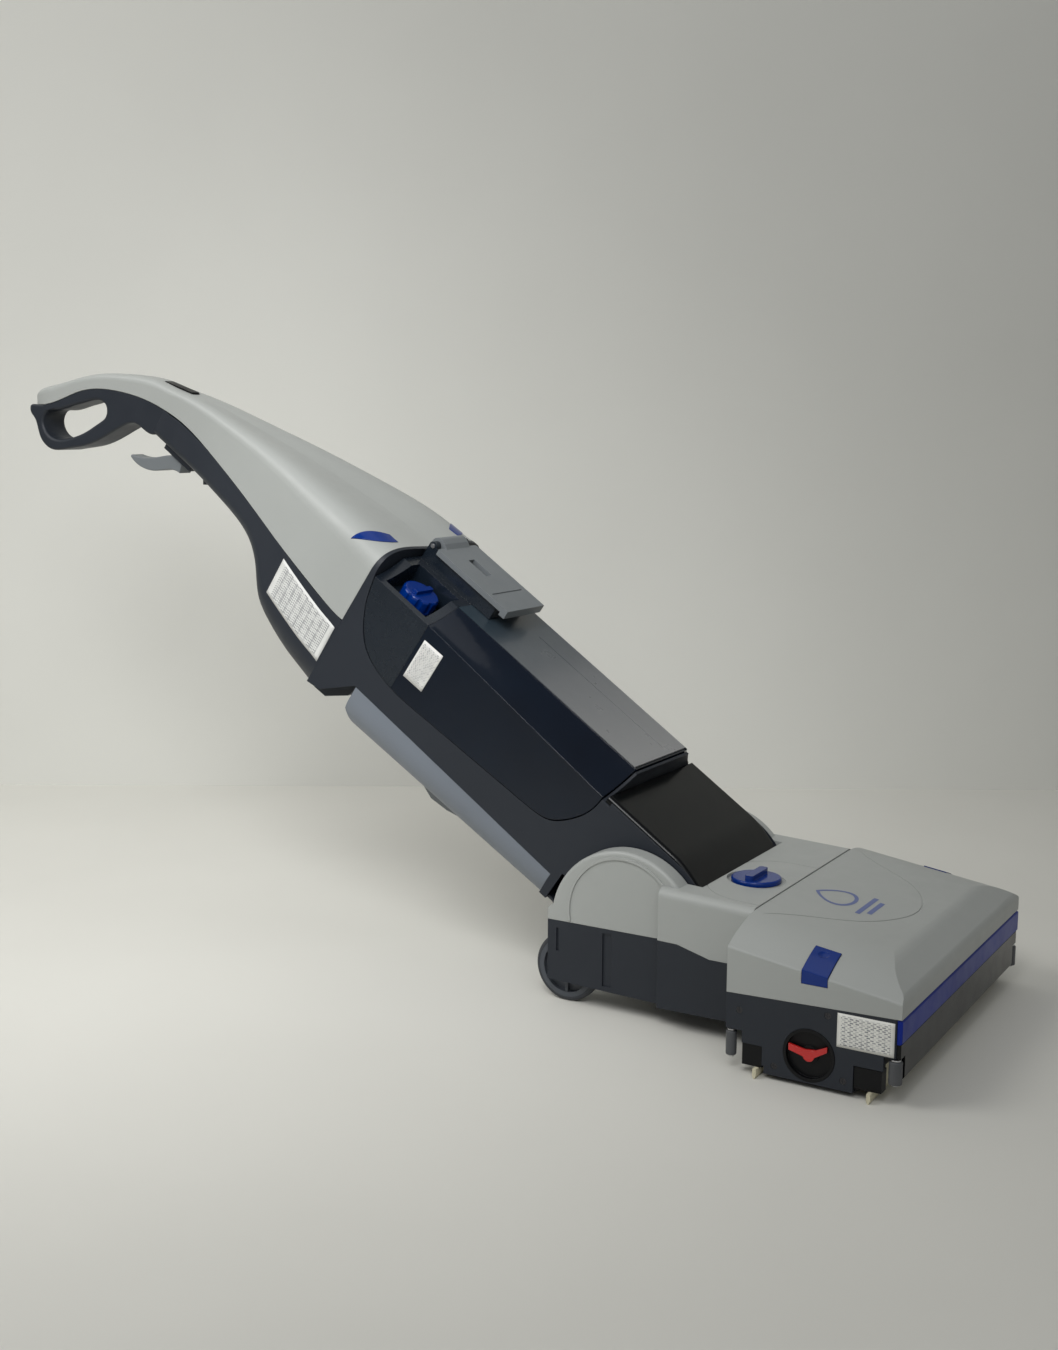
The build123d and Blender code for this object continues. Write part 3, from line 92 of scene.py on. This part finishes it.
# ---- materials ----------------------------------------------------------------------------
class Shader:
    """A material's node tree, with short calls for the nodes that the materials here share."""

    def __init__(self, name, where="Object"):
        self.material = bpy.data.materials.new(name)
        self.material.use_nodes = True
        self.nodes = self.material.node_tree.nodes
        self.links = self.material.node_tree.links
        self.bsdf = self.nodes["Principled BSDF"]
        self.where = self.nodes.new("ShaderNodeTexCoord").outputs[where]

    def node(self, kind, values=(), **settings):
        made = self.nodes.new(kind)
        for key, value in settings.items():
            setattr(made, key, value)
        for key, value in dict(values).items():
            self.put(made.inputs[key], value)
        return made

    def put(self, socket, value):
        if isinstance(value, bpy.types.NodeSocket):
            self.links.new(value, socket)
        elif isinstance(value, (tuple, list)) and socket.type == "RGBA":
            socket.default_value = (*value[:3], 1)
        else:
            socket.default_value = value

    def set(self, **values):
        for key, value in values.items():
            self.put(self.bsdf.inputs[key.replace("_", " ")], value)

    def stretched(self, scale):
        return self.node("ShaderNodeMapping", {"Vector": self.where, "Scale": scale}).outputs[0]

    def noise(self, scale, detail=3.0, roughness=0.5, vector=None):
        values = {"Vector": vector or self.where, "Scale": scale, "Detail": detail, "Roughness": roughness}
        return self.node("ShaderNodeTexNoise", values).outputs["Fac"]

    def span(self, value, low, high, start=0.3, end=0.7):
        values = {"Value": value, "From Min": start, "From Max": end, "To Min": low, "To Max": high}
        return self.node("ShaderNodeMapRange", values).outputs["Result"]

    def mix(self, factor, first, second):
        made = self.nodes.new("ShaderNodeMix")
        made.data_type = "RGBA"
        self.put(made.inputs[0], factor)
        self.put(made.inputs[6], first)
        self.put(made.inputs[7], second)
        return made.outputs[2]

    def math(self, operation, first, second=0.0):
        made = self.nodes.new("ShaderNodeMath")
        made.operation = operation
        self.put(made.inputs[0], first)
        self.put(made.inputs[1], second)
        return made.outputs[0]

    def relief(self, height, depth, strength=1.0, edge=0.0):
        """Bump of the given depth in metres, over edges that are rounded to the given radius."""
        values = {"Height": height, "Distance": depth, "Strength": strength}
        if edge:
            values["Normal"] = self.node("ShaderNodeBevel", {"Radius": edge}, samples=4).outputs[0]
        self.put(self.bsdf.inputs["Normal"], self.node("ShaderNodeBump", values).outputs[0])


def moulded(name, colour, rough, grain=0.00006, mottle=0.05, edge=0.0007, scuff=0.0, level=0.5, coat=0.0):
    """Moulded plastic: spark-eroded grain, slight flow variation, and fine handling marks."""
    s = Shader(name)
    flow = s.noise(6.0, 4.0)
    base = s.mix(s.span(flow, 0, 1), shade(colour, 1 - mottle), shade(colour, 1 + mottle))
    patchy = s.noise(38.0, 5.0, 0.6)
    gloss = s.span(patchy, rough - 0.05, rough + 0.06)
    if scuff:
        lines = s.noise(1.0, 3.0, 0.6, s.stretched((700.0, 55.0, 160.0)))
        handled = s.span(s.noise(11.0), 0, 1, 0.45, 0.7)
        marks = s.math("MULTIPLY", s.span(lines, 0, scuff, 0.62, 0.75), handled)
        base = s.mix(marks, base, shade(colour, 1.5))
        gloss = s.math("ADD", gloss, s.math("MULTIPLY", marks, 0.25))
    s.set(Base_Color=base, Roughness=gloss, Specular_IOR_Level=level)
    s.set(Coat_Weight=coat, Coat_Roughness=0.08)
    s.relief(s.noise(1300.0, 2.0), grain, 0.6, edge)
    return s.material


def polished(name, colour, rough=0.12, depth=0.00002, scuff=0.12, coat=0.6, edge=0.0006, level=0.5):
    """Polished plastic with a faint ripple from moulding and hairline scratches."""
    s = Shader(name)
    base = s.mix(s.span(s.noise(9.0, 3.0), 0, 1), shade(colour, 0.9), shade(colour, 1.12))
    hair = s.noise(1.0, 2.0, 0.7, s.stretched((2100.0, 60.0, 90.0)))
    marks = s.math("MULTIPLY", s.span(hair, 0, scuff, 0.66, 0.74), s.span(s.noise(16.0), 0, 1, 0.4, 0.7))
    s.set(Base_Color=s.mix(marks, base, shade(colour, 2.5)))
    s.set(Roughness=s.math("ADD", s.span(s.noise(55.0, 4.0), rough - 0.03, rough + 0.05), marks))
    s.set(Specular_IOR_Level=level, Coat_Weight=coat, Coat_Roughness=0.05)
    s.relief(s.noise(60.0, 2.0), depth, 0.5, edge)
    return s.material


def smoked():
    """Smoked tank wall, nearly black, with a hint of dark blue-green let through."""
    s = Shader("smoked_tank")
    s.set(Base_Color=s.mix(s.span(s.noise(8.0), 0, 1), srgb(7, 16, 30), srgb(12, 25, 40)))
    s.set(Roughness=s.span(s.noise(40.0, 4.0), 0.07, 0.13), Transmission_Weight=0.2, IOR=1.45)
    s.set(Specular_IOR_Level=0.3, Coat_Weight=0.1, Coat_Roughness=0.04)
    s.relief(s.noise(45.0, 2.0), 0.00003, 0.5, 0.0012)
    return s.material


def rubber(name, colour, rough=0.6, grain=0.00012, streak=0.0):
    """Matt rubber, cloudy in tone, with dark smears where it wipes the floor."""
    s = Shader(name)
    base = s.mix(s.span(s.noise(30.0, 5.0), 0, 1), shade(colour, 0.86), shade(colour, 1.1))
    if streak:
        smear = s.noise(1.0, 3.0, 0.5, s.stretched((260.0, 260.0, 30.0)))
        base = s.mix(s.span(smear, 0, streak, 0.5, 0.75), base, shade(colour, 0.55))
    s.set(Base_Color=base, Roughness=s.span(s.noise(70.0, 4.0), rough - 0.07, rough + 0.1))
    s.relief(s.noise(900.0, 3.0), grain, 0.7, 0.0005)
    return s.material


def metal(name, colour, rough=0.32, brushed=(900.0, 40.0, 40.0)):
    """Brushed or drawn metal with a patchy tarnish."""
    s = Shader(name)
    lines = s.noise(1.0, 3.0, 0.6, s.stretched(brushed))
    tarnish = s.noise(45.0, 5.0, 0.6)
    s.set(Base_Color=s.mix(s.span(tarnish, 0, 1), shade(colour, 0.8), shade(colour, 1.1)), Metallic=1.0)
    gloss = s.span(tarnish, rough - 0.08, rough + 0.1)
    s.set(Roughness=s.math("ADD", gloss, s.math("MULTIPLY", lines, 0.1)))
    s.relief(lines, 0.00002, 0.5, 0.0004)
    return s.material


def circuit():
    """Circuit board: green lacquer with fine tracks."""
    s = Shader("circuit_board")
    cells = s.node("ShaderNodeTexVoronoi", {"Vector": s.where, "Scale": 320.0}, feature="DISTANCE_TO_EDGE")
    tracks = s.span(cells.outputs["Distance"], 1, 0, 0.02, 0.06)
    s.set(Base_Color=s.mix(tracks, srgb(20, 78, 46), srgb(70, 120, 62)))
    s.set(Roughness=s.span(s.noise(120.0), 0.3, 0.45))
    s.relief(tracks, 0.00003, 0.6, 0.0003)
    return s.material


def printed(name, paper, ink, rows, columns, cover=0.5):
    """Film label with rows of plain bars that stand for print, with no letters."""
    s = Shader(name)
    flat = s.node("ShaderNodeAttribute", attribute_name="print").outputs["Vector"]
    scaled = s.node("ShaderNodeMapping", {"Vector": flat, "Scale": (columns, rows, 1.0)}).outputs[0]
    blocks = s.node("ShaderNodeTexBrick", {
        "Vector": scaled, "Color1": (1, 1, 1), "Color2": (0, 0, 0), "Mortar": (0, 0, 0), "Scale": 1.0,
        "Mortar Size": 0.17, "Mortar Smooth": 0.1, "Bias": 0.3 - cover, "Brick Width": 0.8,
        "Row Height": 0.9})
    blocks.offset, blocks.squash = 0.37, 1.0
    parts = s.node("ShaderNodeSeparateXYZ", {"Vector": flat})
    edge = None
    for axis in ("X", "Y"):
        from_middle = s.math("ABSOLUTE", s.math("SUBTRACT", parts.outputs[axis], 0.5))
        inside = s.span(from_middle, 1, 0, 0.43, 0.435)
        edge = inside if edge is None else s.math("MULTIPLY", edge, inside)
    marks = s.math("MULTIPLY", blocks.outputs["Color"], edge)
    base = s.mix(s.span(s.noise(60.0, 4.0), 0, 1), shade(paper, 0.93), shade(paper, 1.03))
    s.set(Base_Color=s.mix(marks, base, ink), Roughness=s.span(s.noise(90.0), 0.34, 0.45))
    s.relief(s.noise(500.0, 2.0), 0.00003, 0.4)
    return s.material


def satin_strip():
    """Strip with painted light: a painted reflection, light grey along its lower edge and darker upwards,
    then a painted dark blue-green glow of light let through the tank towards the latch.
    """
    s = Shader("satin_strip")
    place = s.node("ShaderNodeSeparateXYZ", {"Vector": s.where})
    low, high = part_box("tank_strip")
    # painted reflection and glow: the base colour runs by height, from light grey at the strip's foot to
    # dark blue-green at its top
    rise = s.span(place.outputs["Z"], 0, 1, low.z, high.z)
    waver = s.math("MULTIPLY", s.math("SUBTRACT", s.noise(5.0, 2.0), 0.5), 0.12)
    up = s.math("ADD", rise, waver)
    base = s.mix(s.span(up, 0, 1, 0.05, 0.6), srgb(136, 137, 138), srgb(88, 92, 97))
    base = s.mix(s.span(up, 0, 1, 0.5, 0.95), base, srgb(38, 54, 64))
    s.set(Base_Color=base, Roughness=s.span(s.noise(38.0, 5.0, 0.6), 0.26, 0.36))
    s.set(Coat_Weight=0.3, Coat_Roughness=0.1)
    s.relief(s.noise(1300.0, 2.0), 0.00002, 0.6)
    return s.material


LIGHT = srgb(161, 164, 161)
DARK = srgb(33, 38, 46)
BLUE = srgb(0, 42, 118)
looks = {
    "light_shell": moulded("light_shell", LIGHT, 0.42, mottle=0.025, scuff=0.12),
    "dark_shell": moulded("dark_shell", DARK, 0.48, mottle=0.07, scuff=0.25, level=0.4),
    "gloss_black": polished("gloss_black", srgb(6, 8, 10), 0.2, scuff=0.05, coat=0.04, level=0.22),
    "blue_plastic": polished("blue_plastic", BLUE, 0.16, coat=0.05, scuff=0.03, level=0.35),
    "navy_strip": polished("navy_strip", srgb(4, 34, 128), 0.32, coat=0.0, scuff=0.03, level=0.2),
    "red_plastic": polished("red_plastic", srgb(196, 26, 24), 0.22, coat=0.5),
    "black_plastic": moulded("black_plastic", srgb(9, 10, 12), 0.42, mottle=0.1, scuff=0.15, level=0.25),
    "grey_tank": moulded("grey_tank", srgb(112, 119, 128), 0.5, mottle=0.05, scuff=0.15),
    "smoke_tank": smoked(),
    "satin_strip": satin_strip(),
    "tank_head": polished("tank_head", srgb(20, 28, 37), 0.26, coat=0.15),
    "mid_grey": moulded("mid_grey", srgb(110, 115, 118), 0.42, mottle=0.06, scuff=0.25),
    "blade_rubber": rubber("blade_rubber", srgb(214, 208, 180), 0.55, streak=0.35),
    "black_rubber": rubber("black_rubber", srgb(22, 22, 23)),
    "bristle": moulded("bristle", srgb(40, 74, 150), 0.4, grain=0.00002, mottle=0.2, edge=0.0),
    "steel": metal("zinc_steel", (0.56, 0.56, 0.57)),
    "dark_screw": metal("black_oxide", (0.08, 0.08, 0.085), 0.4),
    "motor_can": metal("motor_can", (0.42, 0.42, 0.43), 0.4),
    "alloy": metal("alloy", (0.72, 0.72, 0.74), 0.3),
    "tyre": rubber("tyre", srgb(52, 55, 60), 0.65),
    "wheel_rim": moulded("wheel_rim", srgb(70, 75, 82), 0.45, mottle=0.08, scuff=0.2),
    "roller": moulded("roller", srgb(74, 76, 79), 0.5, mottle=0.08, scuff=0.2),
    "pump_body": moulded("pump_body", srgb(40, 42, 46), 0.5, mottle=0.1),
    "valve_body": moulded("valve_body", srgb(200, 200, 194), 0.4, mottle=0.04),
    "board": circuit(),
    "float": moulded("float", srgb(224, 224, 216), 0.4, mottle=0.04),
    "label": printed("label", srgb(226, 226, 220), srgb(120, 122, 128), 16, 8),
}
for part in record["subparts"]:
    for place in nodes[part["node"]].material_slots:
        place.material = looks[part["material_slot"]]


# ---- pieces -------------------------------------------------------------------------------
BEFORE, REACH = 0.05, 0.12      # where a ray starts in front of a point, and how far it looks


def piece(name, vertices, faces, body, material, smooth=True, print_at=None):
    mesh = bpy.data.meshes.new(name)
    mesh.from_pydata([tuple(v) for v in vertices], [], faces)
    if print_at:
        layer = mesh.attributes.new("print", "FLOAT_VECTOR", "POINT")
        layer.data.foreach_set("vector", [value for place in print_at for value in (*place, 0.0)])
    mesh.validate()
    made = added(name, mesh)
    mesh.materials.append(looks[material])
    mesh.shade_smooth() if smooth else mesh.shade_flat()
    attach(made, body)
    return made


def surface_of(*names):
    """The joined faces of CAD nodes, for casting rays at."""
    vertices, faces = [], []
    for name in names:
        mesh = nodes[name].data
        start = len(vertices)
        vertices += [v.co.copy() for v in mesh.vertices]
        faces += [[start + i for i in face.vertices] for face in mesh.polygons]
    return BVHTree.FromPolygons(vertices, faces)


def laid_on(tree, points, towards, lift):
    """The points moved along a direction until they lie on a surface, then lifted off it."""
    towards = towards.normalized()
    found = []
    for point in points:
        hit = tree.ray_cast(point - towards * BEFORE, towards, REACH)[0]
        found.append((hit if hit else point) - towards * lift)
    return found


def film(name, tree, corner, right, up, towards, body, material, steps=(12, 8), lift=0.00025):
    """A thin film laid on a surface: corner, and its two edges as vectors."""
    across, high = steps
    flat, places = [], []
    for row in range(high + 1):
        for column in range(across + 1):
            flat.append(corner + right * (column / across) + up * (row / high))
            places.append((column / across, row / high))
    top = laid_on(tree, flat, towards, lift)
    base = [v + towards.normalized() * (lift * 0.9) for v in top]
    count = len(top)
    faces = []
    for row in range(high):
        for column in range(across):
            a = row * (across + 1) + column
            quad = [a, a + 1, a + across + 2, a + across + 1]
            faces.append(quad)
            faces.append([i + count for i in reversed(quad)])
    wide = across + 1
    rim = list(range(across)) + [row * wide + across for row in range(high)]
    rim += [high * wide + i for i in range(across, 0, -1)] + [row * wide for row in range(high, 0, -1)]
    for a, b in zip(rim, rim[1:] + rim[:1]):
        faces.append([b, a, a + count, b + count])
    return piece(name, top + base, faces, body, material, print_at=places + places)


def labels():
    """Plain film labels, with bars in place of print."""
    looks["film_small"] = printed("film_small", srgb(222, 222, 218), srgb(110, 114, 120), 20, 7)
    looks["film_rows"] = printed("film_rows", srgb(214, 215, 212), srgb(116, 118, 122), 30, 8, 0.7)
    low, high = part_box("side_label")
    corner = Vector((low.x, high.y, low.z))
    side = surface_of("right_side_plate")
    forwards, upwards = Vector((0, low.y - high.y, 0)), Vector((0, 0, high.z - low.z))
    made = film("side_label_film", side, corner, forwards, upwards, ASIDE, "base", "label")
    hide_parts("side_label")
    tank = surface_of("tank_bucket")
    made = film("tank_label_film", tank, on_body(-99.4, 359, 29), (ALONG * -28 + ACROSS * 0.6) * MM,
                (ACROSS * 49) * MM, ASIDE, "recovery_tank", "film_small")
    shell = surface_of("handle_rear_shell")
    made = film("handle_label_film", shell, on_body(-95, 565, -22.5), (ALONG * -107 - ACROSS * 11) * MM,
                (ALONG * 1.5 + ACROSS * 46.5) * MM, ASIDE, "upper_body", "film_rows", (24, 10))


def emblem():
    """A plain water drop in outline on the head cover, with two bars under it."""
    ink = srgb(92, 104, 150)
    looks["print_blue"] = moulded("print_blue", ink, 0.4, grain=0.00002, mottle=0.04, edge=0.0)
    tree = surface_of("head_cover")
    middle, drop_y, bars_y, above = -28, 121, 92, 160       # millimetres; above is clear of the cover
    outline = []
    count = 48
    for number in range(count):
        turn = 2 * math.pi * number / count
        pinch = math.sin(turn / 2) ** 0.8
        outline.append((math.sin(turn) * pinch, -math.cos(turn)))
    vertices, faces = [], []
    for size in (22.0, 18.0):
        for x, y in outline:
            vertices.append(on_head(middle + x * size * 1.3, drop_y - y * size * 0.95, above))
    for number in range(count):
        after = (number + 1) % count
        faces.append([number, after, count + after, count + number])
    for shift, length in ((5, 56), (14, 40)):
        start = len(vertices)
        for x, y in ((-length / 2, 0), (length / 2, 0), (length / 2, 5), (-length / 2, 5)):
            vertices.append(on_head(middle + x, bars_y - shift + y, above))
        faces.append([start, start + 1, start + 2, start + 3])
    made = piece("cover_print", laid_on(tree, vertices, -UP, 0.00015), faces, "head_cover", "print_blue")


def bristles():
    """Nylon tufts in spiral rows on the brush core."""
    random.seed(7)
    low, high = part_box("brush_bristles")
    axis = (low + high) / 2
    outer, inner = (high.z - low.z) / 2, 0.0148
    thick, thin, end = 0.00022, 0.00014, 0.004      # strand's half width at its foot and tip; bare end
    rows, tufts, strands = 8, 52, 12
    vertices, faces = [], []
    for row in range(rows):
        for tuft in range(tufts):
            x = low.x + end + (high.x - low.x - 2 * end) * tuft / (tufts - 1)
            turn = 2 * math.pi * (row / rows + 0.55 * tuft / tufts)
            for _ in range(strands):
                angle = turn + random.uniform(-0.07, 0.07)
                foot = x + random.uniform(-0.0016, 0.0016)
                tip = foot + random.uniform(-0.0018, 0.0018)
                bend = angle + random.uniform(-0.05, 0.05)
                length = outer - random.uniform(0.0, 0.0012)
                start = len(vertices)
                ends = ((foot, angle, inner, thick), (tip, bend, length - 0.0001, thin))
                for px, a, r, half in ends:
                    centre = Vector((px, axis.y + math.cos(a) * r, axis.z + math.sin(a) * r))
                    round_way = Vector((0, -math.sin(a), math.cos(a)))
                    for corner in range(3):
                        spin = 2 * math.pi * corner / 3
                        away = ASIDE * math.cos(spin) + round_way * math.sin(spin)
                        vertices.append(centre + away * half)
                for corner in range(3):
                    after = (corner + 1) % 3
                    faces.append([start + corner, start + after, start + 3 + after, start + 3 + corner])
                faces.append([start + 3, start + 4, start + 5])
    made = piece("bristle_tufts", vertices, faces, "brush", "bristle", smooth=False)
    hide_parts("brush_bristles")


labels()
emblem()
bristles()


# ---- room, light and camera ---------------------------------------------------------------
def stage_plane(name, centre, right, up, material):
    """A flat sheet of the room, from its middle and half its sides."""
    corners = (centre - right - up, centre + right - up, centre + right + up, centre - right + up)
    mesh = bpy.data.meshes.new(name)
    mesh.from_pydata([tuple(corner) for corner in corners], [], [[0, 1, 2, 3]])
    mesh.materials.append(material)
    added(name, mesh)


def paint(name, low, high, rough):
    """Wall or floor paint, slightly uneven in tone."""
    s = Shader(name)
    s.set(Base_Color=s.mix(s.span(s.noise(2.0), 0, 1), low, high), Roughness=rough)
    return s


WALL_AWAY = 2.58                # from the eye to the wall, along the floor


def room(eye, ahead, sideways):
    """Pale floor and a pale wall that is seen from its front only."""
    s = paint("floor_paint", srgb(214, 213, 206), srgb(219, 218, 211), 0.7)
    stage_plane("floor", Vector((0, 0, 0)), Vector((6, 0, 0)), Vector((0, 6, 0)), s.material)
    s = paint("wall_paint", srgb(216, 216, 210), srgb(221, 221, 215), 0.8)
    clear = s.nodes.new("ShaderNodeBsdfTransparent")
    front = s.node("ShaderNodeMixShader", {0: s.nodes.new("ShaderNodeNewGeometry").outputs["Backfacing"],
                                           1: s.bsdf.outputs[0], 2: clear.outputs[0]})
    s.links.new(front.outputs[0], s.nodes["Material Output"].inputs["Surface"])
    foot = Vector((eye.x, eye.y, 0)) + ahead * WALL_AWAY
    stage_plane("wall", foot + UP * 2.0, sideways * 5, UP * 2.0, s.material)


def aim(data, place, target):
    """Put a light at a place and turn it to a target."""
    made = added(data.name, data)
    made.location = place
    made.rotation_euler = (Vector(target) - Vector(place)).to_track_quat("-Z", "Y").to_euler()


def area_light(name, place, target, size, power, colour=(1, 1, 1)):
    data = bpy.data.lights.new(name, "AREA")
    data.shape, data.size, data.energy, data.color = "DISK", size, power, colour
    aim(data, place, target)


def pool_light(name, place, target, angle, power):
    """Wide soft-edged spot that leaves the picture's corners darker."""
    data = bpy.data.lights.new(name, "SPOT")
    data.spot_size, data.spot_blend = math.radians(angle), 1.0
    data.energy, data.shadow_soft_size = power, 0.5
    aim(data, place, target)


def camera():
    """The photograph's view: where the eye is, how it is turned, and its lens."""
    eye = Vector((-1.5039, -1.0240, 0.5891))
    yaw, pitch, roll = math.radians(30.95), math.radians(8.94), math.radians(-0.31)
    ahead = Vector((math.cos(yaw) * math.cos(pitch), math.sin(yaw) * math.cos(pitch), -math.sin(pitch)))
    right = ahead.cross(UP).normalized()
    down = ahead.cross(right)
    right, down = (right * math.cos(roll) + down * math.sin(roll),
                   down * math.cos(roll) - right * math.sin(roll))
    data = bpy.data.cameras.new("camera")
    data.sensor_width, data.lens = 36.0, 43.61
    data.clip_start, data.clip_end = 0.05, 60
    made = added("camera", data)
    turn = Matrix((right, -down, -ahead)).transposed()
    made.matrix_world = Matrix.Translation(eye) @ turn.to_4x4()
    bpy.context.scene.camera = made
    level = Vector((math.cos(yaw), math.sin(yaw), 0))
    return eye, level, level.cross(UP)


eye, ahead, sideways = camera()
room(eye, ahead, sideways)
bright = Vector((eye.x, eye.y, 0)) + ahead * 2.5 - sideways * 0.45
area_light("key", (-1.25, 1.15, 2.1), (0.0, 0.0, 0.2), 1.4, 21, (1.0, 0.99, 0.97))
area_light("fill", (-1.6, -1.5, 1.9), (0.0, -0.1, 0.2), 1.6, 8, (0.97, 0.99, 1.0))
area_light("top", (0.3, 0.1, 2.6), (0.0, 0.0, 0.0), 1.8, 4)
pool_light("pool", bright - ahead * 2.0 + UP * 1.45, bright - ahead * 0.25, 66, 98)
world = bpy.data.worlds.new("studio")
world.use_nodes = True
world.node_tree.nodes["Background"].inputs["Color"].default_value = (0.8, 0.81, 0.83, 1)
world.node_tree.nodes["Background"].inputs["Strength"].default_value = 0.3
bpy.context.scene.world = world
bpy.context.scene.view_settings.view_transform = "Standard"
